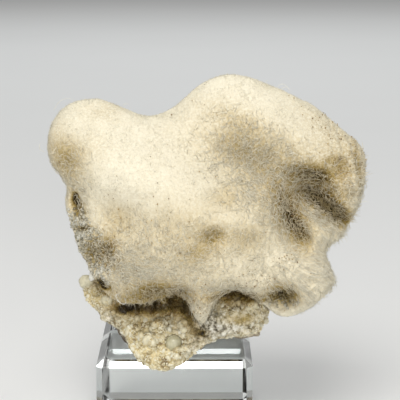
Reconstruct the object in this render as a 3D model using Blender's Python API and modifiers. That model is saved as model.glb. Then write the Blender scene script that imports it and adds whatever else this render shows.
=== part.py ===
"""A mesolite specimen standing on a clear bevelled display block.

A felted mass of white needles grows on a wedge of broken rock. The hollow under the mass
is lined with a crust of small flat-faced crystals, and one round crystal sits on it.

Lengths are in millimetres and become metres where a mesh is made. X runs to the right, Y
away from the viewer and Z up. The origin is the middle of the underside of the block.
"""

import math
import random

import bmesh
import bpy
import numpy as np
from mathutils import Vector, noise

MM = 0.001
GAP = 0.3

# Display block
BLOCK_WIDTH = 50.8
BLOCK_HEIGHT = 25.4
BLOCK_TOP_BEVEL = 2.7
BLOCK_SIDE_BEVEL = 2.0

# Felted mass: outline as (x, z) in its leaning plane, seen from the front
MASS_LEAN = math.radians(9.0)
MASS_CENTRE = (10.0, -20.5, 78.0)
MASS_FRONT = 20.0
MASS_BACK = 19.0
MASS_POWER = 2.2
MASS_TOP_RANGE = (80.0, 114.0)
MASS_TOP_THINNING = 0.36
MASS_VOXEL = 1.1
MASS_TRIANGLES = 4700
MASS_ROOM = 1.8 * GAP
MASS_ROOM_TRIANGLES = 2400
MASS_OUTLINE = [
    (-34.0, 81.8), (-35.6, 84.6), (-38.4, 87.0), (-40.2, 90.0), (-40.5, 94.5), (-39.8, 99.5),
    (-37.4, 104.6), (-33.8, 107.6), (-28.5, 109.2), (-23.2, 109.4), (-18.2, 107.8), (-13.6, 105.6),
    (-9.6, 104.2), (-5.6, 104.5), (-1.8, 106.0), (2.2, 108.6), (6.0, 112.2), (10.8, 115.4),
    (16.5, 116.9), (22.5, 116.5), (30.0, 114.0), (37.5, 110.6), (44.5, 107.2), (50.4, 102.6),
    (54.8, 98.2), (58.6, 95.6), (60.6, 91.5), (61.0, 85.5), (60.2, 79.6), (58.4, 74.0),
    (55.6, 69.0), (53.0, 65.0), (48.2, 62.4), (48.6, 58.8), (50.8, 55.6), (51.6, 52.4),
    (49.4, 48.6), (45.4, 45.0), (40.4, 41.6), (35.0, 39.8), (31.0, 41.6), (26.0, 46.4),
    (20.0, 49.0), (15.4, 47.4), (12.4, 43.6), (9.4, 37.4), (6.4, 40.0), (4.2, 45.6),
    (1.2, 48.8), (-2.6, 46.8), (-8.0, 45.2), (-13.4, 44.2), (-18.4, 45.4), (-22.2, 47.8),
    (-24.8, 50.4), (-26.6, 53.4), (-27.4, 56.6), (-29.8, 59.2), (-31.6, 64.6), (-33.4, 70.4),
    (-35.2, 76.4),
]

# Swells and dents of the mass: name, x, z, half widths along and across, turn, height
MASS_RELIEF = [
    ("left lobe", -25.0, 97.0, 11.0, 10.0, 0.0, 3.5),
    ("saddle", -7.0, 103.0, 7.0, 7.0, 0.0, -2.0),
    ("crest", 2.0, 83.0, 21.0, 8.5, -30.0, 5.0),
    ("belly", 2.0, 62.0, 19.0, 9.0, 0.0, 3.0),
    ("upper right lobe", 30.0, 104.0, 17.0, 7.5, -22.0, 5.0),
    ("right dome", 54.0, 86.0, 5.5, 10.0, 0.0, 3.0),
    ("valley", 24.0, 89.5, 13.0, 5.0, -14.0, -5.5),
    ("hollow", 42.5, 82.5, 5.4, 3.6, -15.0, -10.0),
    ("black arm", 48.0, 75.0, 6.5, 2.2, -32.0, -8.0),
    ("brown arm", 38.5, 70.5, 3.4, 6.4, 18.0, -6.0),
    ("ring dent", 51.5, 88.5, 3.2, 2.6, 0.0, -2.6),
    ("upper dimple", 14.9, 81.0, 4.2, 3.4, 0.0, -1.5),
    ("lower dimple", 11.5, 69.0, 3.6, 3.2, 0.0, -2.0),
    ("right dimple", 25.0, 66.0, 7.0, 4.5, -20.0, -2.5),
    ("left dimple", -17.5, 75.0, 5.5, 4.5, -30.0, -2.4),
    ("left flank", -30.0, 66.0, 4.5, 12.0, 12.0, -3.0),
    ("left hole", -30.4, 78.6, 1.5, 2.2, 0.0, -3.5),
    ("flank pocket", -24.0, 61.0, 2.8, 3.4, -20.0, -3.4),
    ("low pocket", -21.5, 51.8, 2.2, 2.0, 0.0, -3.6),
    ("spur", 42.0, 57.0, 8.0, 6.0, 0.0, 4.0),
    ("lower right face", 40.0, 47.5, 7.0, 4.5, 15.0, 5.0),
    ("round pit", 33.6, 47.4, 2.9, 2.7, 0.0, -8.5),
    ("spur groove", 29.0, 56.0, 2.6, 7.0, 35.0, -2.4),
    ("tongue", 9.5, 44.5, 4.5, 4.5, 0.0, 3.0),
]

# Rock behind the mass: outline as (x, z) in a leaning plane
PLATE_CENTRE = (10.0, -6.0, 62.0)
PLATE_LEAN = math.radians(2.0)
PLATE_FRONT = 12.0
PLATE_BACK = 21.0
PLATE_POWER = 2.3
PLATE_TOP_RANGE = (56.0, 106.0)
PLATE_TOP_THINNING = 0.56
PLATE_OUTLINE = [
    (-25.0, 50.0), (-27.0, 60.0), (-30.0, 71.0), (-32.0, 80.0), (-32.0, 89.0), (-25.0, 95.0),
    (-15.0, 96.0), (-5.0, 95.0), (4.0, 100.0), (14.0, 107.0), (26.0, 106.0), (38.0, 101.0),
    (48.0, 95.0), (54.0, 86.0), (53.0, 76.0), (48.0, 66.0), (44.0, 57.0), (40.0, 49.0),
    (33.0, 43.0), (29.0, 37.0), (25.0, 29.0), (18.0, 24.0), (4.0, 23.0), (-6.0, 24.0),
    (-13.0, 31.0), (-20.0, 40.0),
]

# Rock under the hollow: outline as (across, up the slope) in the sloping plane
SLOPE_LEAN = math.radians(40.0)
SLOPE_FOOT = (0.0, -31.0, 24.2)
SLOPE_MIDDLE = (1.0, 17.0)
SLOPE_OUTLINE = [
    (-2.8, -0.4), (1.0, 1.4), (5.1, 4.2), (7.7, 7.0), (12.2, 10.4), (17.0, 12.2), (22.0, 12.4),
    (26.4, 13.2), (28.4, 17.0), (30.5, 20.5), (31.0, 26.0), (26.0, 32.0), (15.0, 35.0), (0.0, 36.0),
    (-14.0, 35.0), (-25.0, 34.5), (-30.2, 32.0), (-30.6, 28.6), (-28.8, 25.0), (-24.2, 20.3),
    (-19.2, 15.2), (-16.2, 12.0), (-13.6, 7.4), (-11.8, 3.8), (-7.6, 0.6),
]
SLOPE_POWER = 3.2
SLOPE_FRONT = 0.6
SLOPE_BACK = 16.0
SLOPE_FORWARD = Vector((0.0, -1.0, 0.0))
SLOPE_RELIEF = [
    ("cave", 0.0, 45.0, 8.0, 4.5, 0.0, -3.5),
    ("right step", 19.0, 41.5, 8.5, 5.0, 0.0, 12.0),
    ("left bank", -22.0, 44.0, 5.0, 5.0, 0.0, 3.0),
    ("tip swell", -2.0, 31.0, 6.0, 3.0, 0.0, 1.0),
]

WEDGE_SCALE = 0.99

# Rock surface: wavelength and height of each layer of roughness
ROCK_TRIANGLES = 1600
ROCK_VOXEL = 1.6
ROCK_LAYERS = [(28.0, 3.6), (11.0, 2.2), (4.5, 0.8)]
RIDGE_MEAN = 1.2
SMOOTHING = 0.5

# The heel that the rock stands on, and the hollows cut under its sides: name, centre, radii
ROCK_HEEL_CENTRE = (-1.0, -4.0, 32.0)
ROCK_HEEL_RADII = (12.0, 19.0, 12.0)
ROCK_UNDERCUTS = [
    ("right_undercut", (32.0, -12.0, 14.0), (26.0, 28.0, 19.0)),
    ("left_undercut", (-36.0, -8.0, 14.0), (26.0, 32.0, 24.0)),
]
FOOT_MARGIN = 0.8
FOOT_DEPTH = 30.0

# Crust of small crystals on the slope
CRUST_FRONT = 1.6
CRUST_BACK = 1.5
CRUST_ROOM_FRONT = 9.0
CRUST_ROOM_SCALE = 1.02
CRUST_TRIANGLES = 600
CRUST_SEED = 3
CRUST_TOP = 46.0

# Crystals of the crust: heights and slides are shares of a crystal's width
CRYSTAL_SMALLEST = 1.2
CRYSTAL_COMPACTNESS = 0.45
CRYSTAL_HEIGHTS = (0.12, 0.9)
CRYSTAL_TAPER = (0.2, 0.68)
CRYSTAL_SLIDE = 0.15
CRYSTAL_TILT = 0.8
CRYSTAL_FLATNESS = math.radians(40.0)
CRYSTAL_SQUARENESS = math.radians(60.0)
CRYSTAL_FACING = 0.2

# Larger rounded crystals of the crust: name, x, y, z, radius
CRUST_NODULES = [
    ("grey bead", -28.6, -14.6, 48.2, 2.2),
    ("yellow bead", -21.6, -19.4, 44.6, 2.4),
    ("white tuft", -11.6, -27.8, 29.4, 1.7),
    ("pale bead", -13.4, -24.0, 34.8, 2.0),
]

# Round crystal
GLOBE_CENTRE = (-0.2, -27.7, 32.1)
GLOBE_RADIUS = 2.6
GLOBE_ROOM = 1.2 * GAP

COLOURS = {
    "display_block": ((0.86, 0.93, 0.92), 0.03),
    "mesolite_mass": ((0.80, 0.75, 0.60), 0.95),
    "matrix": ((0.42, 0.38, 0.31), 0.90),
    "druse_crust": ((0.66, 0.58, 0.36), 0.35),
    "globe_crystal": ((0.78, 0.77, 0.66), 0.20),
}


def clear_scene():
    for item in list(bpy.data.objects):
        bpy.data.objects.remove(item, do_unlink=True)


def make_collection(name):
    collection = bpy.data.collections.new(name)
    bpy.context.scene.collection.children.link(collection)
    return collection


def make_material(name):
    colour, roughness = COLOURS[name]
    material = bpy.data.materials.new(name)
    material.use_nodes = True
    shader = material.node_tree.nodes["Principled BSDF"]
    shader.inputs["Base Color"].default_value = (*colour, 1.0)
    shader.inputs["Roughness"].default_value = roughness
    shader.inputs["Metallic"].default_value = 0.0
    if name == "display_block":
        shader.inputs["Transmission Weight"].default_value = 1.0
        shader.inputs["IOR"].default_value = 1.49
    return material


def object_from_bmesh(name, shape, collection):
    mesh = bpy.data.meshes.new(name)
    shape.to_mesh(mesh)
    shape.free()
    item = bpy.data.objects.new(name, mesh)
    collection.objects.link(item)
    return item


def bake(item):
    """Replace an object's mesh by its evaluated one and drop its modifiers."""
    graph = bpy.context.evaluated_depsgraph_get()
    mesh = bpy.data.meshes.new_from_object(item.evaluated_get(graph))
    item.modifiers.clear()
    item.data = mesh
    return item


def as_cutter(item):
    item.hide_render = True
    item.display_type = "WIRE"
    return item


def join_meshes(name, items, collection):
    shape = bmesh.new()
    for item in items:
        shape.from_mesh(item.data)
        bpy.data.objects.remove(item, do_unlink=True)
    return object_from_bmesh(name, shape, collection)


def remesh(item, voxel):
    step = item.modifiers.new("one skin", "REMESH")
    step.mode = "VOXEL"
    step.voxel_size = voxel * MM
    return bake(item)


def smooth(item, repeats):
    step = item.modifiers.new("soften", "SMOOTH")
    step.factor = SMOOTHING
    step.iterations = repeats
    return bake(item)


def decimate(item, triangles):
    shape = bmesh.new()
    shape.from_mesh(item.data)
    bmesh.ops.triangulate(shape, faces=shape.faces)
    shape.to_mesh(item.data)
    shape.free()
    step = item.modifiers.new("fewer faces", "DECIMATE")
    step.ratio = min(1.0, triangles / len(item.data.polygons))
    return bake(item)


def combine(item, other, operation):
    step = item.modifiers.new(operation.lower(), "BOOLEAN")
    step.operation = operation
    step.solver = "EXACT"
    step.object = other
    return bake(item)


def connected_corners(start):
    """Every corner that edges join to the given one."""
    reached = {start}
    front = [start]
    while front:
        corner = front.pop()
        for edge in corner.link_edges:
            other = edge.other_vert(corner)
            if other not in reached:
                reached.add(other)
                front.append(other)
    return reached


def largest_piece(item):
    """Drop crumbs that a cut leaves loose."""
    shape = bmesh.new()
    shape.from_mesh(item.data)
    left = set(shape.verts)
    best = set()
    while left:
        piece = connected_corners(next(iter(left)))
        left -= piece
        if len(piece) > len(best):
            best = piece
    crumbs = [corner for corner in shape.verts if corner not in best]
    bmesh.ops.delete(shape, geom=crumbs, context="VERTS")
    shape.to_mesh(item.data)
    shape.free()
    return item


def grown_copy(item, name, distance, collection, triangles=None):
    """A copy of a closed shape, larger by the distance on every side, to cut with."""
    copy = bpy.data.objects.new(name, item.data.copy())
    collection.objects.link(copy)
    if triangles:
        decimate(copy, triangles)
    shape = bmesh.new()
    shape.from_mesh(copy.data)
    shape.normal_update()
    for corner in shape.verts:
        corner.co += corner.normal * distance * MM
    shape.to_mesh(copy.data)
    shape.free()
    return as_cutter(copy)


def smooth_closed_curve(points, steps=8):
    """Points along a closed curve through the given ones."""
    count = len(points)
    curve = []
    for index in range(count):
        before, start, end, after = (np.array(points[(index + k) % count], float) for k in (-1, 0, 1, 2))
        for step in range(steps):
            t = step / steps
            curve.append(0.5 * (2.0 * start + (end - before) * t
                                + (2.0 * before - 5.0 * start + 4.0 * end - after) * t ** 2
                                + (3.0 * start - before - 3.0 * end + after) * t ** 3))
    return np.array(curve)


def eased(value, low, high):
    part = max(0.0, min(1.0, (value - low) / (high - low)))
    return part * part * (3.0 - 2.0 * part)


class Pillow:
    """A closed rounded lump: an outline in a leaning plane, swollen to the front and back.

    The outline holds at the rim only. Towards the middle it eases into a blurred one, so
    that a notch or a point of the rim leaves no fold across the face.
    """

    RIM_START = 0.70
    BLUR = math.radians(14.0)

    def __init__(self, outline, middle, origin, lean, thickness, power, thinning=None):
        self.middle = middle
        self.origin = Vector(origin)
        self.up = Vector((0.0, math.sin(lean), math.cos(lean)))
        self.out = Vector((0.0, -math.cos(lean), math.sin(lean)))
        self.front, self.back = thickness
        self.power = power
        self.thinning = thinning
        curve = smooth_closed_curve(outline) - np.array(middle)
        angles = np.arctan2(curve[:, 1], curve[:, 0])
        order = np.argsort(angles)
        self.angles = np.linspace(-math.pi, math.pi, 361)
        radii = np.hypot(curve[:, 0], curve[:, 1])[order]
        self.radii = np.interp(self.angles, angles[order], radii, period=2.0 * math.pi)
        gaps = np.abs(self.angles[:, None] - self.angles[None, :-1])
        gaps = np.minimum(gaps, 2.0 * math.pi - gaps)
        weights = np.exp(-0.5 * (gaps / self.BLUR) ** 2)
        self.blurred = weights @ self.radii[:-1] / weights.sum(axis=1)

    def radius(self, angle, rim):
        sharp = float(np.interp(angle, self.angles, self.radii))
        soft = float(np.interp(angle, self.angles, self.blurred))
        return soft + (sharp - soft) * eased(rim, self.RIM_START, 1.0)

    def place(self, direction):
        angle = math.atan2(direction.z, direction.x)
        across = math.hypot(direction.x, direction.z)
        deep = -direction.y
        scale = (across ** self.power + abs(deep) ** self.power) ** (-1.0 / self.power)
        rim = across * scale
        reach = rim * self.radius(angle, rim)
        sideways = reach * math.cos(angle)
        upward = reach * math.sin(angle)
        thickness = self.front if deep > 0.0 else self.back
        if self.thinning:
            low, high, share = self.thinning
            thickness *= 1.0 - share * eased(self.middle[1] + upward, low, high)
        return (self.origin + Vector((sideways, 0.0, 0.0)) + self.up * upward
                + self.out * deep * scale * thickness)

    def build(self, name, collection, subdivisions=5):
        shape = bmesh.new()
        bmesh.ops.create_icosphere(shape, subdivisions=subdivisions, radius=1.0)
        for corner in shape.verts:
            corner.co = self.place(corner.co.normalized()) * MM
        return object_from_bmesh(name, shape, collection)


def upright_pillow(outline, centre, lean, thickness, power, thinning):
    """A pillow whose outline is given as world x and z."""
    stretched = [(x, centre[2] + (z - centre[2]) / math.cos(lean)) for x, z in outline]
    return Pillow(stretched, (centre[0], centre[2]), centre, lean, thickness, power, thinning)


def ellipsoid(name, centre, radii, collection, subdivisions=4):
    shape = bmesh.new()
    bmesh.ops.create_icosphere(shape, subdivisions=subdivisions, radius=1.0)
    for corner in shape.verts:
        corner.co = Vector(centre[k] + corner.co[k] * radii[k] for k in range(3)) * MM
    return object_from_bmesh(name, shape, collection)


def relief_height(place, relief):
    """The height that the named swells and dents add up to at a place in metres."""
    height = 0.0
    for _, centre_x, centre_z, along, across, turn, peak in relief:
        angle = math.radians(turn)
        dx = place.x / MM - centre_x
        dz = place.z / MM - centre_z
        u = (dx * math.cos(angle) + dz * math.sin(angle)) / along
        v = (dz * math.cos(angle) - dx * math.sin(angle)) / across
        height += peak * math.exp(-0.5 * (u * u + v * v))
    return height


def carve_front(item, relief, out):
    """Move the forward-facing surface out or in by the named swells and dents."""
    shape = bmesh.new()
    shape.from_mesh(item.data)
    shape.normal_update()
    for corner in shape.verts:
        facing = eased(corner.normal.dot(out), -0.25, 0.45)
        corner.co += out * relief_height(corner.co, relief) * facing * MM
    shape.to_mesh(item.data)
    shape.free()
    return item


def bend(item, relief, out):
    """Move every point, front and back alike, by the named swells and dents."""
    for corner in item.data.vertices:
        corner.co += out * relief_height(corner.co, relief) * MM
    return item


def roughen(item, wavelength, height, seed):
    """Broken rock: ridged noise that moves each point along its normal."""
    shape = bmesh.new()
    shape.from_mesh(item.data)
    shape.normal_update()
    offset = Vector((3.1, 1.7, 2.3)) * seed
    for corner in shape.verts:
        place = corner.co / MM / wavelength + offset
        rough = noise.ridged_multi_fractal(place, 0.9, 2.1, 3, 1.0, 2.0) - RIDGE_MEAN
        corner.co += corner.normal * rough * height * MM
    shape.to_mesh(item.data)
    shape.free()
    return item


def build_display_block(collection):
    shape = bmesh.new()
    bmesh.ops.create_cube(shape, size=1.0)
    size = Vector((BLOCK_WIDTH, BLOCK_WIDTH, BLOCK_HEIGHT))
    for corner in shape.verts:
        corner.co = Vector(corner.co[k] * size[k] for k in range(3)) * MM
        corner.co.z += 0.5 * BLOCK_HEIGHT * MM
    block = object_from_bmesh("display_block", shape, collection)
    weights = block.data.attributes.new("bevel_weight_edge", "FLOAT", "EDGE")
    top = 0.9 * BLOCK_HEIGHT * MM
    for edge in block.data.edges:
        on_top = all(block.data.vertices[index].co.z > top for index in edge.vertices)
        weights.data[edge.index].value = 1.0 if on_top else BLOCK_SIDE_BEVEL / BLOCK_TOP_BEVEL
    step = block.modifiers.new("polished chamfers", "BEVEL")
    step.limit_method = "WEIGHT"
    step.width = BLOCK_TOP_BEVEL * MM
    step.segments = 1
    return block


def build_mesolite_mass(collection):
    pillow = upright_pillow(MASS_OUTLINE, MASS_CENTRE, MASS_LEAN, (MASS_FRONT, MASS_BACK), MASS_POWER,
                            (*MASS_TOP_RANGE, MASS_TOP_THINNING))
    mass = pillow.build("mesolite_mass", collection)
    remesh(mass, MASS_VOXEL)
    carve_front(mass, MASS_RELIEF, pillow.out)
    smooth(mass, 3)
    decimate(mass, MASS_TRIANGLES)
    return mass


def build_slope_slab(name, front, back, scale, collection):
    """A bent slab that lies on the slope of the hollow."""
    middle = SLOPE_MIDDLE
    outline = [(middle[0] + (a - middle[0]) * scale, middle[1] + (b - middle[1]) * scale)
               for a, b in SLOPE_OUTLINE]
    rise = Vector((0.0, math.sin(SLOPE_LEAN), math.cos(SLOPE_LEAN))) * middle[1]
    origin = Vector(SLOPE_FOOT) + rise + Vector((middle[0], 0.0, 0.0))
    pillow = Pillow(outline, middle, origin, SLOPE_LEAN, (front, back), SLOPE_POWER)
    slab = pillow.build(name, collection, 4)
    return bend(slab, SLOPE_RELIEF, SLOPE_FORWARD)


def build_rock(collection, cutters):
    plate = upright_pillow(PLATE_OUTLINE, PLATE_CENTRE, PLATE_LEAN, (PLATE_FRONT, PLATE_BACK), PLATE_POWER,
                           (*PLATE_TOP_RANGE, PLATE_TOP_THINNING))
    back = plate.build("back", collection)
    wedge = build_slope_slab("wedge", SLOPE_FRONT, SLOPE_BACK, WEDGE_SCALE, collection)
    heel = ellipsoid("heel", ROCK_HEEL_CENTRE, ROCK_HEEL_RADII, collection)
    rock = join_meshes("matrix", [back, wedge, heel], collection)
    remesh(rock, ROCK_VOXEL)
    for name, centre, radii in ROCK_UNDERCUTS:
        combine(rock, as_cutter(ellipsoid(name, centre, radii, cutters)), "DIFFERENCE")
    remesh(rock, ROCK_VOXEL)
    smooth(rock, 2)
    for seed, (wavelength, height) in enumerate(ROCK_LAYERS):
        roughen(rock, wavelength, height, seed + 1)
    remesh(rock, ROCK_VOXEL)
    decimate(rock, ROCK_TRIANGLES)
    return rock


def foot_cutter(cutters):
    """The room of the block's top, so that the rock stands on a flat foot."""
    width = BLOCK_WIDTH + 2.0 * FOOT_MARGIN
    size = Vector((width, width, FOOT_DEPTH))
    shape = bmesh.new()
    bmesh.ops.create_cube(shape, size=1.0)
    for corner in shape.verts:
        corner.co = Vector(corner.co[k] * size[k] for k in range(3))
        corner.co.z += BLOCK_HEIGHT + GAP - 0.5 * FOOT_DEPTH
        corner.co *= MM
    return as_cutter(object_from_bmesh("foot_plane", shape, cutters))


def build_matrix(mass_room, collection, cutters):
    rock = build_rock(collection, cutters)
    crust_room = build_slope_slab("crust_room", CRUST_ROOM_FRONT, CRUST_BACK + GAP, CRUST_ROOM_SCALE,
                                  cutters)
    combine(rock, mass_room, "DIFFERENCE")
    combine(rock, as_cutter(crust_room), "DIFFERENCE")
    combine(rock, foot_cutter(cutters), "DIFFERENCE")
    return largest_piece(rock)


def is_crystal_seat(face):
    """A face in view below the lip that is neither tiny nor a sliver."""
    centre = face.calc_center_median()
    size = math.sqrt(face.calc_area())
    nearest = min((corner.co - centre).length for corner in face.verts)
    return (centre.z < CRUST_TOP * MM and size > CRYSTAL_SMALLEST * MM
            and nearest > CRYSTAL_COMPACTNESS * size)


def grow_crystals(crust, out, draw):
    """Raise each outer face of the crust into a blocky crystal with a slanted flat top."""
    shape = bmesh.new()
    shape.from_mesh(crust.data)
    bmesh.ops.join_triangles(shape, faces=shape.faces[:], angle_face_threshold=CRYSTAL_FLATNESS,
                             angle_shape_threshold=CRYSTAL_SQUARENESS)
    outer = [face for face in shape.faces
             if face.normal.dot(out) > CRYSTAL_FACING and is_crystal_seat(face)]
    tops = bmesh.ops.extrude_discrete_faces(shape, faces=outer)["faces"]
    for top in tops:
        centre = top.calc_center_median()
        normal = top.normal.copy()
        size = math.sqrt(top.calc_area())
        height = draw.uniform(*CRYSTAL_HEIGHTS) * size
        taper = draw.uniform(*CRYSTAL_TAPER)
        slant = Vector(draw.uniform(-CRYSTAL_TILT, CRYSTAL_TILT) for _ in range(3))
        aside = Vector(draw.uniform(-1.0, 1.0) for _ in range(3))
        aside -= normal * aside.dot(normal)
        slide = aside * size * (1.0 - taper) * CRYSTAL_SLIDE
        for corner in top.verts:
            spoke = (corner.co - centre) * taper
            spoke -= normal * spoke.dot(normal)
            rise = max(CRYSTAL_HEIGHTS[0] * size, height + spoke.dot(slant))
            corner.co = centre + slide + spoke + normal * rise
    shape.to_mesh(crust.data)
    shape.free()
    return crust


def build_druse_crust(mass_room, globe, collection, cutters):
    draw = random.Random(CRUST_SEED)
    out = Vector((0.0, -math.cos(SLOPE_LEAN), math.sin(SLOPE_LEAN)))
    crust = build_slope_slab("druse_crust", CRUST_FRONT, CRUST_BACK, 1.0, collection)
    decimate(crust, CRUST_TRIANGLES)
    grow_crystals(crust, out, draw)
    for name, x, y, z, radius in CRUST_NODULES:
        nodule = as_cutter(ellipsoid(name, (x, y, z), (radius, radius, radius), cutters, 2))
        combine(crust, nodule, "UNION")
    combine(crust, mass_room, "DIFFERENCE")
    combine(crust, grown_copy(globe, "globe_room", GLOBE_ROOM, cutters), "DIFFERENCE")
    return largest_piece(crust)


def main():
    clear_scene()
    parts = make_collection("mesolite_specimen")
    cutters = make_collection("cutters")
    block = build_display_block(parts)
    mass = build_mesolite_mass(parts)
    mass_room = grown_copy(mass, "mass_room", MASS_ROOM, cutters, MASS_ROOM_TRIANGLES)
    matrix = build_matrix(mass_room, parts, cutters)
    globe_radii = (GLOBE_RADIUS, GLOBE_RADIUS, GLOBE_RADIUS)
    globe = ellipsoid("globe_crystal", GLOBE_CENTRE, globe_radii, parts, 2)
    crust = build_druse_crust(mass_room, globe, parts, cutters)
    for item in (block, mass, matrix, crust, globe):
        item.data.materials.clear()
        item.data.materials.append(make_material(item.name))


main()
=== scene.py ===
"""Looks of a mesolite specimen on its clear display block.

The felted mass is a solid of felt with needle meshes grown on it. The rock and the crust of
small crystals are finer copies of their solids. Lengths are in millimetres and become metres
where a mesh is made. X runs to the right, Y away from the viewer and Z up.
"""

import math

import bmesh
import bpy
import numpy as np
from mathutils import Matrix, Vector, noise
from mathutils.bvhtree import BVHTree


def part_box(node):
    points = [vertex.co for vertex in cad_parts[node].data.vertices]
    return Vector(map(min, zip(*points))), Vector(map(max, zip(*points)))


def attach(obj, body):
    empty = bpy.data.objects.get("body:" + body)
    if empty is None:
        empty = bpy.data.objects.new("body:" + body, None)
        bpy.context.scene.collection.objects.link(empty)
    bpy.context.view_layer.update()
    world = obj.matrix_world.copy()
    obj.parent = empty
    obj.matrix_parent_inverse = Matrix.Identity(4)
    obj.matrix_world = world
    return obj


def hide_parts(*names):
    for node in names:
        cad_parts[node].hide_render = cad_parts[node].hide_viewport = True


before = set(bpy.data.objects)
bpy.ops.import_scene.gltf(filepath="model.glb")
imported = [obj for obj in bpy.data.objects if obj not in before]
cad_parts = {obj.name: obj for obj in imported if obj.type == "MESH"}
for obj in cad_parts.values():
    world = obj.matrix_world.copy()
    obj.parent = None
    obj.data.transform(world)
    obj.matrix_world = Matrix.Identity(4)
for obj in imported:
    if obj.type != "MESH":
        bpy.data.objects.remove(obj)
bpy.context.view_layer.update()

MM = 0.001
BODY = "root"


def outward(azimuth, elevation):
    """A unit vector by its turn from the front to the right and its rise, in degrees."""
    turn, rise = math.radians(azimuth), math.radians(elevation)
    return Vector((math.sin(turn) * math.cos(rise), -math.cos(turn) * math.cos(rise), math.sin(rise)))


# Camera: fitted to the edges of the block in the photograph
CAMERA_PLACE = (6.876, -410.37, 161.41)
CAMERA_PITCH = math.radians(12.18)
CAMERA_TURN = math.radians(0.2115)
CAMERA_LENS = 113.04
CAMERA_SENSOR = 36.0

# Lights: name, azimuth, elevation, distance, width in metres, power in watts, colour
SUBJECT = (8.0, -15.0, 70.0)
LIGHTS = [
    ("key", -12.0, 54.0, 0.80, 0.40, 3.7, (1.0, 0.975, 0.93)),
    ("fill", 6.0, 9.0, 2.60, 0.70, 23.0, (1.0, 0.98, 0.94)),
    ("back", 178.0, 48.0, 2.20, 1.00, 16.0, (0.97, 1.0, 1.0)),
]
WORLD_COLOUR = (0.88, 0.87, 0.85)
WORLD_STRENGTH = 0.36
FLOOR_SIZE = 14.0
FLOOR_COLOUR = (0.82, 0.825, 0.83)
FLOOR_DROP = 0.05

# Felt: a solid core that lies just below the needle tips
FELT_OUT = outward(0.0, 9.0)
FELT_VOXEL = 0.75
FELT_SMOOTHING = 8
FELT_DEPTH = 0.55
FELT_TUFTS = [(6.0, 0.30), (2.4, 0.14), (1.1, 0.06)]

# Every spot below is measured on the front of the specimen: name, x, z, half widths along and
# across, turn in degrees, strength

# Fine relief of the felt, in millimetres
FELT_RELIEF = [
    ("hollow floor", 42.5, 87.0, 4.6, 2.4, -14.0, -2.0),
    ("hollow lower wall", 43.6, 81.0, 2.6, 1.6, -36.0, -0.5),
    ("black arm", 48.6, 76.6, 5.8, 2.0, -38.0, -2.2),
    ("brown arm", 36.6, 75.6, 2.0, 5.2, 24.0, -1.1),
    ("arm ridge", 50.6, 78.6, 3.6, 0.9, -40.0, 1.2),
    ("low arm ridge", 45.0, 73.8, 4.6, 1.1, -34.0, 0.9),
    ("first ring dimple", 48.7, 91.7, 1.9, 1.6, 0.0, -0.9),
    ("second ring dimple", 51.9, 90.4, 1.6, 1.9, 0.0, -1.0),
    ("ring", 57.4, 90.0, 0.8, 4.6, 12.0, -0.7),
    ("ledge", 51.6, 84.6, 4.2, 0.9, -6.0, 1.0),
    ("brown dimple", 12.7, 70.9, 2.2, 1.9, 0.0, -0.9),
    ("grey dimple", 16.1, 82.8, 2.8, 2.2, 0.0, -0.5),
    ("left dimple", -16.8, 75.2, 4.2, 3.4, -20.0, -0.7),
    ("round pit", 33.9, 50.2, 2.5, 2.2, 0.0, -2.3),
    ("left hole", -30.8, 78.9, 0.8, 1.3, 0.0, -2.2),
    ("left slot", -29.2, 76.0, 0.7, 1.6, 15.0, -1.3),
    ("crystal hole", -28.6, 69.8, 1.2, 0.8, 30.0, -1.4),
    ("green pocket", -25.2, 62.4, 2.2, 3.6, -16.0, -1.6),
    ("brown pocket", -20.2, 64.2, 1.2, 2.2, -8.0, -1.0),
    ("low hole", -22.6, 51.0, 1.1, 0.8, 0.0, -1.8),
    ("upper low hole", -24.0, 52.8, 0.9, 0.8, 0.0, -1.6),
    ("spur groove", 33.6, 60.4, 1.2, 5.0, 40.0, -0.7),
    ("streak rib", 38.3, 54.8, 1.0, 4.4, 34.0, 0.7),
    ("spur rib", 42.0, 58.4, 6.4, 0.8, -6.0, 0.6),
    ("upper spur rib", 41.0, 62.0, 5.4, 0.8, 6.0, 0.5),
    ("lip fold", -2.0, 51.0, 6.0, 1.0, 10.0, -0.7),
    ("tongue brow", 11.0, 56.0, 6.0, 2.0, 10.0, 1.5),
    ("lower right brow", 28.0, 55.6, 5.0, 1.8, 0.0, 1.2),
]

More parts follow.
